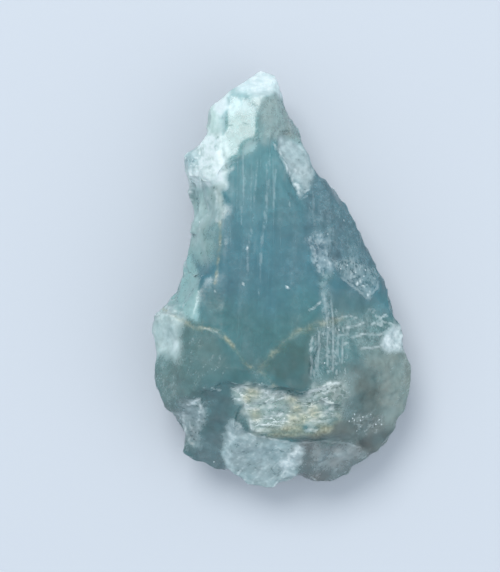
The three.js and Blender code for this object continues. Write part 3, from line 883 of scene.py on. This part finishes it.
    # Iron stain along the cracks and under the crust.
    stain = np.zeros(len(points))
    for line, width, strength in (
        (LEFT_CRACK, 0.34, 0.60),
        (RIGHT_CRACK, 0.55, 0.42),
        (LOWER_CRACK, 0.4, 0.45),
        (STAIN_LINE, 0.28, 0.5),
        ([(-15.8, -8), (-13.8, -8)], 0.7, 0.5),
    ):
        rust = stroke(fine, line, width, 0.05) * (0.15 + 0.85 * broken ** 1.5)
        stain = np.maximum(stain, strength * rust)
    frost = np.maximum(frost, 0.06 * stroke(fine, FAINT_LINE, 0.25))
    thick = np.clip(0.6 + swell(points * (0.5, 1, 1), 2.4, 3, 170), 0, 1)
    stain = np.maximum(stain, within(crisp, CRUST_FOOT, 0.9) * 0.72 * thick)

    mark_colour(mesh, "tint", np.clip(tint, 0, 1))
    mark(mesh, "frost", frost)
    mark(mesh, "crust", cream)
    mark(mesh, "rows", crust * (1 - 0.45 * ramp(5, 9, points[:, 0])))
    lined = within(loose, STRIATED, 1.0) * ramp(-4, 6, points[:, 1]) * ramp(4, -1, points[:, 0])
    lined = np.maximum(lined, 0.6 * within(loose, LEFT_PRISM, 1.0))
    mark(mesh, "growth", np.maximum(lined, 1.3 * within(loose, RIGHT_FLANK, 1.0)) * on_top)
    mark(mesh, "stain", stain * on_top)
    flecks = np.maximum.reduce([share * within(loose, area, 0.8) for area, share in GLINT_FLECKED])
    mark(mesh, "flecks", flecks * on_top)


CLEARNESS = 0.50
BENDING = 1.575  # beryl's index of refraction
SMOOTHEST, ROUGHEST = 0.25, 0.50
DEEP_COLOUR = (0.20, 0.60, 0.68, 1)
DEEPENING = 26
CLOUD_COLOUR = (0.10, 0.40, 0.45, 1)
CRUMB_COLOUR = (0.30, 0.46, 0.48, 1)
FROST_WHITE = (0.88, 0.98, 0.98, 1)
CRUST_CREAM = (0.84, 0.83, 0.62, 1)
RUST_DARK = (0.31, 0.30, 0.17, 1)
RUST_LIGHT = (0.62, 0.62, 0.43, 1)
BUMP_HEIGHT = 0.06 * MM


def aquamarine_material():
    made, nodes, links, shader = new_material("aquamarine")
    shader.inputs["Transmission Weight"].default_value = CLEARNESS
    shader.inputs["IOR"].default_value = BENDING
    place = nodes.new("ShaderNodeTexCoord").outputs["Object"]

    def put(socket, value):
        if isinstance(value, bpy.types.NodeSocket):
            links.new(value, socket)
        else:
            socket.default_value = value

    def shade(name, output="Fac"):
        node = nodes.new("ShaderNodeAttribute")
        node.attribute_name = name
        return node.outputs[output]

    def noise(size, detail, where=place):
        node = nodes.new("ShaderNodeTexNoise")
        put(node.inputs["Scale"], 1 / (size * MM))
        put(node.inputs["Detail"], detail)
        put(node.inputs["Vector"], where)
        return node.outputs

    def drawn_out(where, scale, turn):
        node = nodes.new("ShaderNodeMapping")
        put(node.inputs["Vector"], where)
        put(node.inputs["Scale"], scale)
        put(node.inputs["Rotation"], (0, 0, turn))
        return node.outputs["Vector"]

    def band(value, low, high):
        node = nodes.new("ShaderNodeMapRange")
        node.interpolation_type = "SMOOTHSTEP"
        put(node.inputs["Value"], value)
        put(node.inputs["From Min"], low)
        put(node.inputs["From Max"], high)
        return node.outputs["Result"]

    def blend(kind, amount, first, second, way="MIX"):
        node = nodes.new("ShaderNodeMix")
        node.data_type = kind
        end = {"RGBA": "Color", "FLOAT": "Float"}[kind]
        if kind == "RGBA":
            node.blend_type = way
        sockets = {s.identifier: s for s in list(node.inputs) + list(node.outputs)}
        put(sockets["Factor_Float"], amount)
        put(sockets["A_" + end], first)
        put(sockets["B_" + end], second)
        return sockets["Result_" + end]

    def reckon(operation, first, second, third=0.0):
        node = nodes.new("ShaderNodeMath")
        node.operation = operation
        node.use_clamp = True
        for socket, value in zip(node.inputs, (first, second, third)):
            put(socket, value)
        return node.outputs[0]

    clouding = band(noise(3.5, 7)["Fac"], 0.25, 0.75)
    fine = band(noise(0.45, 6)["Fac"], 0.36, 0.64)
    crumb = band(noise(0.9, 8)["Fac"], 0.30, 0.70)
    cloudy = reckon("MULTIPLY", clouding, 0.18)
    body = blend("RGBA", cloudy, shade("tint", "Color"), CLOUD_COLOUR)
    body = blend("RGBA", reckon("MULTIPLY", crumb, 0.22), body, CRUMB_COLOUR, "MULTIPLY")

    # Small flat flecks, raised a little by the bump, painted white as glints where they catch the
    # light.
    shifted = nodes.new("ShaderNodeVectorMath")
    shifted.operation = "MULTIPLY_ADD"
    put(shifted.inputs[0], noise(0.6, 2)["Color"])
    put(shifted.inputs[1], (0.5 * MM,) * 3)
    put(shifted.inputs[2], place)
    shifted = shifted.outputs["Vector"]
    cells = nodes.new("ShaderNodeTexVoronoi")
    put(cells.inputs["Scale"], 1 / (0.50 * MM))
    put(cells.inputs["Vector"], shifted)
    split = nodes.new("ShaderNodeSeparateColor")
    put(split.inputs["Color"], cells.outputs["Color"])
    chosen = reckon("LESS_THAN", split.outputs[0], reckon("MULTIPLY", shade("flecks"), 0.34))
    middle = reckon("SUBTRACT", 1.0, band(cells.outputs["Distance"], 0.22, 0.46))
    painted_glint = reckon("MULTIPLY", chosen, middle)

    # Hair-fine growth lines.
    hair = noise(0.55, 3, drawn_out(place, (1, 0.025, 0.15), 0.045))["Fac"]
    hairs = reckon("MULTIPLY", band(hair, 0.56, 0.74), shade("growth"))

    # Sharp ragged ridges of the crust, drawn out across the stone.
    ridge = noise(1.5, 4, drawn_out(shifted, (0.30, 1, 0.5), -0.12))["Fac"]
    aside = reckon("ADD", reckon("SUBTRACT", ridge, 0.5), reckon("SUBTRACT", 0.5, ridge))
    ridges = reckon("SUBTRACT", 1.0, band(aside, 0.004, 0.026))
    ridges = reckon("MULTIPLY", ridges, shade("rows"))

    frost = reckon("MULTIPLY", shade("frost"), blend("FLOAT", fine, 0.72, 1.22))
    frost = reckon("MAXIMUM", frost, reckon("MULTIPLY", ridges, 0.98))
    frost = reckon("MULTIPLY", frost, blend("FLOAT", crumb, 1.18, 0.86))
    frost = reckon("MULTIPLY_ADD", hairs, 0.10, frost)
    # painted glints: the flecks are whitened as if catching the light
    frost = reckon("MAXIMUM", frost, reckon("MULTIPLY", painted_glint, 0.9))
    white = blend("RGBA", shade("crust"), FROST_WHITE, CRUST_CREAM)
    colour = blend("RGBA", frost, body, white)
    rust = blend("RGBA", fine, RUST_DARK, RUST_LIGHT)
    put(shader.inputs["Base Color"], blend("RGBA", shade("stain"), colour, rust))
    put(shader.inputs["Roughness"], blend("FLOAT", frost, SMOOTHEST, ROUGHEST))

    bump = nodes.new("ShaderNodeBump")
    put(bump.inputs["Distance"], BUMP_HEIGHT)
    put(bump.inputs["Strength"], 0.5)
    relief = reckon("MULTIPLY", fine, reckon("ADD", shade("frost"), 0.12))
    put(bump.inputs["Height"], reckon("MULTIPLY_ADD", painted_glint, 0.4, relief))
    put(shader.inputs["Normal"], bump.outputs["Normal"])

    depth = nodes.new("ShaderNodeVolumeAbsorption")
    put(depth.inputs["Color"], DEEP_COLOUR)
    put(depth.inputs["Density"], DEEPENING)
    put(nodes["Material Output"].inputs["Volume"], depth.outputs["Volume"])
    return made


skin = with_modifier(closed_copy(CRYSTAL), "REMESH", mode="VOXEL", voxel_size=GRAIN * MM)
low_down = np.flatnonzero((outward(skin)[:, 2] < -0.3) | (points_of(skin)[:, 2] < LOW_DOWN))
skin = with_modifier(skin, "DECIMATE", low_down, ratio=LOW_DOWN_SHARE)
skin.name = "crystal"
for face in skin.polygons:
    face.use_smooth = True
shape_crystal(skin)
shade_crystal(skin)
skin.materials.clear()
skin.materials.append(aquamarine_material())
crystal = placed("crystal", skin)
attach(crystal, "root")
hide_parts(CRYSTAL)

# ---------------------------------------------------------------------------
# Veils sealed in the stone
# Old cracks that healed while the stone grew, left as sheets of tiny flat white gaps. A gap is
# a flake with five corners; a veil is a flat patch set with hundreds of them.

VEILS = [  # middle of the patch, the way it faces, how wide it is, how many gaps
    ((-8, 26, 9), (0.5, 0.2, 1.0), 6, 260),
    ((-14, 19, 7), (0.8, 0.0, 0.7), 6, 320),
    ((-1, 19, 10), (-0.3, 0.2, 1.0), 7, 160),
    ((10, 9, 8), (-0.6, -0.2, 0.8), 8, 300),
    ((4, 3, 11), (1.0, 0.0, 0.5), 7, 200),
    ((-13, -4, 9), (0.8, 0.3, 0.7), 7, 220),
    ((-17, -14, 7), (0.5, 0.6, 0.8), 8, 260),
    ((9, -12, 9), (1.0, 0.1, 0.5), 8, 260),
    ((17, -14, 6), (-0.5, 0.4, 0.9), 8, 300),
    ((2, -24, 8), (0.1, 0.9, 0.6), 9, 320),
    ((-5, -31, 5), (0.2, -0.5, 0.9), 6, 240),
    ((9, -31, 5), (-0.2, -0.6, 0.9), 6, 220),
    ((-3, -4, 12), (0.2, 0.4, 1.0), 9, 220),
]
FLAKE_RADIUS = 0.26
SEALED = 0.35  # the least cover of clear stone over a gap

stone = BVHTree.FromPolygons([corner.co for corner in skin.vertices],
                             [tuple(face.vertices) for face in skin.polygons])


def deep_enough(place, cover=SEALED):
    """Whether a place is inside the stone with this much cover on every side."""
    spot = Vector(place) * MM
    above = stone.ray_cast(Vector((spot.x, spot.y, 1)), Vector((0, 0, -1)))[0]
    below = stone.ray_cast(Vector((spot.x, spot.y, -1)), Vector((0, 0, 1)))[0]
    if above is None or not below.z < spot.z < above.z:
        return False
    return stone.find_nearest(spot)[3] > cover * MM


def two_tone_material(name, grain, detail, first, second, roughness):
    """A matt cloudy surface: two colours, each with its place on the noise's scale."""
    made, nodes, links, shader = new_material(name)
    place = nodes.new("ShaderNodeTexCoord")
    cloud = nodes.new("ShaderNodeTexNoise")
    cloud.inputs["Scale"].default_value = 1 / (grain * MM)
    cloud.inputs["Detail"].default_value = detail
    links.new(place.outputs["Object"], cloud.inputs["Vector"])
    colour = nodes.new("ShaderNodeValToRGB")
    for stop, (position, shade) in zip(colour.color_ramp.elements, (first, second)):
        stop.position = position
        stop.color = shade
    links.new(cloud.outputs["Fac"], colour.inputs["Fac"])
    links.new(colour.outputs["Color"], shader.inputs["Base Color"])
    shader.inputs["Roughness"].default_value = roughness
    return made


def scatter_tree(name, material, build_piece, lean, smallest, largest):
    """Sets a small piece on every guide point, turned to the point's facing, with a chance lean,
    spin and size."""
    tree = bpy.data.node_groups.new(name, "GeometryNodeTree")
    tree.interface.new_socket("Guides", in_out="INPUT", socket_type="NodeSocketGeometry")
    size = tree.interface.new_socket("Size", in_out="INPUT", socket_type="NodeSocketFloat")
    seed = tree.interface.new_socket("Seed", in_out="INPUT", socket_type="NodeSocketInt")
    tree.interface.new_socket("Pieces", in_out="OUTPUT", socket_type="NodeSocketGeometry")
    nodes, links = tree.nodes, tree.links
    given = nodes.new("NodeGroupInput")
    out = nodes.new("NodeGroupOutput")

    def chance(low, high):
        node = nodes.new("FunctionNodeRandomValue")
        node.data_type = "FLOAT_VECTOR"
        node.inputs["Min"].default_value = low
        node.inputs["Max"].default_value = high
        links.new(given.outputs["Seed"], node.inputs["Seed"])
        return node.outputs["Value"]

    facing = nodes.new("GeometryNodeInputNamedAttribute")
    facing.data_type = "FLOAT_VECTOR"
    facing.inputs["Name"].default_value = "facing"
    turn = nodes.new("FunctionNodeAlignRotationToVector")
    turn.axis = "Z"
    links.new(facing.outputs["Attribute"], turn.inputs["Vector"])
    turned = nodes.new("FunctionNodeRotateRotation")
    turned.rotation_space = "LOCAL"
    links.new(turn.outputs["Rotation"], turned.inputs["Rotation"])
    links.new(chance((-lean, -lean, -3.14), (lean, lean, 3.14)), turned.inputs["Rotate By"])
    set_on = nodes.new("GeometryNodeInstanceOnPoints")
    links.new(given.outputs["Guides"], set_on.inputs["Points"])
    links.new(build_piece(nodes, links, given), set_on.inputs["Instance"])
    links.new(turned.outputs["Rotation"], set_on.inputs["Rotation"])
    links.new(chance(smallest, largest), set_on.inputs["Scale"])
    real = nodes.new("GeometryNodeRealizeInstances")
    links.new(set_on.outputs["Instances"], real.inputs["Geometry"])
    coat = nodes.new("GeometryNodeSetMaterial")
    coat.inputs["Material"].default_value = material
    links.new(real.outputs["Geometry"], coat.inputs["Geometry"])
    links.new(coat.outputs["Geometry"], out.inputs["Pieces"])
    return tree, size.identifier, seed.identifier


def flat_flake(nodes, links, given):
    disc = nodes.new("GeometryNodeMeshCircle")
    disc.fill_type = "NGON"
    disc.inputs["Vertices"].default_value = 5
    links.new(given.outputs["Size"], disc.inputs["Radius"])
    return disc.outputs["Mesh"]


def scattered(name, places, facings, tree, size_socket, seed_socket, size):
    """The pieces as one plain mesh object sealed in the stone."""
    guides = bpy.data.meshes.new(name + "_guides")
    guides.from_pydata([tuple(Vector(p) * MM) for p in places], [], [])
    held = guides.attributes.new("facing", "FLOAT_VECTOR", "POINT")
    held.data.foreach_set("vector", np.array(facings, np.float32).ravel())
    holder = placed("holder", guides)
    grow = holder.modifiers.new("grow", "NODES")
    grow.node_group = tree
    grow[size_socket] = size * MM
    grow[seed_socket] = SEED
    made = placed(name, taken_from(holder))
    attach(made, "root")
    return made


def veil_places():
    rng = np.random.default_rng(SEED + 5)
    places, facings = [], []
    for middle, facing, width, count in VEILS:
        upright = Vector(facing).normalized()
        across = upright.orthogonal().normalized()
        along = upright.cross(across)
        for _ in range(count):
            way, far = rng.uniform(0, 2 * math.pi), width * math.sqrt(rng.random())
            a, b = far * math.cos(way), far * math.sin(way)
            bow = 0.35 * math.sin(a * 0.7) + 0.3 * math.cos(b * 0.9)
            place = Vector(middle) + across * a + along * b + upright * (bow + rng.normal() * 0.12)
            if deep_enough(place):
                places.append(place)
                facings.append(upright)
    return places, facings


white_gap = two_tone_material(
    "white_gap", 1.5, 2, (0.35, (0.55, 0.76, 0.78, 1)), (0.6, (0.90, 0.98, 1.0, 1)), 0.5)
flakes = scatter_tree("flakes", white_gap, flat_flake, 0.25, (0.35, 0.35, 1), (1.4, 1.0, 1))
scattered("healed_veils", *veil_places(), *flakes, FLAKE_RADIUS)

# ---------------------------------------------------------------------------
# Growth tubes sealed in the stone
# Hair-thin hollow tubes that run the way the crystal grew, towards the pointed end, white where
# the light catches them. Each is a long thin pipe with four sides.

TUBE_WAY = (0.07, 1.0, 0.03)
TUBE_COUNT = 170
TUBE_LENGTH = 5
TUBE_RADIUS = 0.045
TUBE_COVER = 0.3


def thin_pipe(nodes, links, given):
    pipe = nodes.new("GeometryNodeMeshCylinder")
    pipe.inputs["Vertices"].default_value = 4
    pipe.inputs["Depth"].default_value = TUBE_LENGTH * MM
    links.new(given.outputs["Size"], pipe.inputs["Radius"])
    return pipe.outputs["Mesh"]


def tube_places():
    rng = np.random.default_rng(SEED + 6)
    way = Vector(TUBE_WAY).normalized()
    places = []
    while len(places) < TUBE_COUNT:
        place = Vector((rng.normal(-3.5, 4.0), rng.uniform(-14, 27), rng.uniform(5, 20)))
        if all(deep_enough(place + way * end, TUBE_COVER) for end in (-2.6, 0, 2.6)):
            places.append(place)
    return places, [way] * TUBE_COUNT


tubes = scatter_tree("tubes", white_gap, thin_pipe, 0.01, (0.6, 0.6, 0.3), (1.2, 1.2, 1.0))
scattered("growth_tubes", *tube_places(), *tubes, TUBE_RADIUS)

# ---------------------------------------------------------------------------
# Stained cracks sealed in the stone
# Thin sheets of yellow-brown iron stain that go down from the open cracks at a slant, with
# ragged gaps where no stain has crept in.

STAINED = [  # the crack's line, how far the sheet leans sideways per mm down, how deep it goes
    (LEFT_CRACK[1:], (-0.10, -0.35), 3.2),
    (RIGHT_CRACK[:-1], (0.28, -0.30), 4.2),
    (LOWER_CRACK, (0.30, 0.10), 3.0),
]
SHEET_STEP = 0.35
SHEET_ROWS = 9
SHEET_COVER = 0.2


def stained_sheets():
    rng = np.random.default_rng(SEED + 7)
    work = bmesh.new()
    for line, lean, depth in STAINED:
        stops = []
        for start, end in zip(line[:-1], line[1:]):
            a, b = Vector((*start, 0)), Vector((*end, 0))
            steps = max(2, round((b - a).length / SHEET_STEP))
            stops += [a.lerp(b, i / steps) for i in range(steps)]
        stops.append(Vector((*line[-1], 0)))
        grid = []
        for index, stop in enumerate(stops):
            above = stone.ray_cast(Vector((stop.x, stop.y, 40)) * MM, Vector((0, 0, -1)))[0]
            top = above.z / MM - SEALED
            column = []
            for row in range(SHEET_ROWS):
                down = depth * row / (SHEET_ROWS - 1) * (0.8 + 0.3 * math.sin(index * 0.45))
                wobble = 0.10 * math.sin(index * 0.9 + row * 0.7)
                place = Vector((stop.x + lean[0] * down + wobble,
                                stop.y + lean[1] * down + wobble, top - down))
                sealed = deep_enough(place, SHEET_COVER)
                column.append(work.verts.new(place * MM) if sealed else None)
            grid.append(column)
        for left, right in zip(grid[:-1], grid[1:]):
            for row in range(SHEET_ROWS - 1):
                corners = (left[row], left[row + 1], right[row + 1], right[row])
                if None not in corners and rng.random() > 0.12 + 0.08 * row:
                    work.faces.new(corners)
    bmesh.ops.delete(work, geom=[v for v in work.verts if not v.link_faces], context="VERTS")
    mesh = bpy.data.meshes.new("stained_cracks")
    work.to_mesh(mesh)
    work.free()
    mesh.materials.append(two_tone_material(
        "iron_stain", 0.8, 5, (0.38, (0.42, 0.28, 0.08, 1)), (0.60, (0.78, 0.72, 0.42, 1)), 0.6))
    made = placed("stained_cracks", mesh)
    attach(made, "root")


stained_sheets()
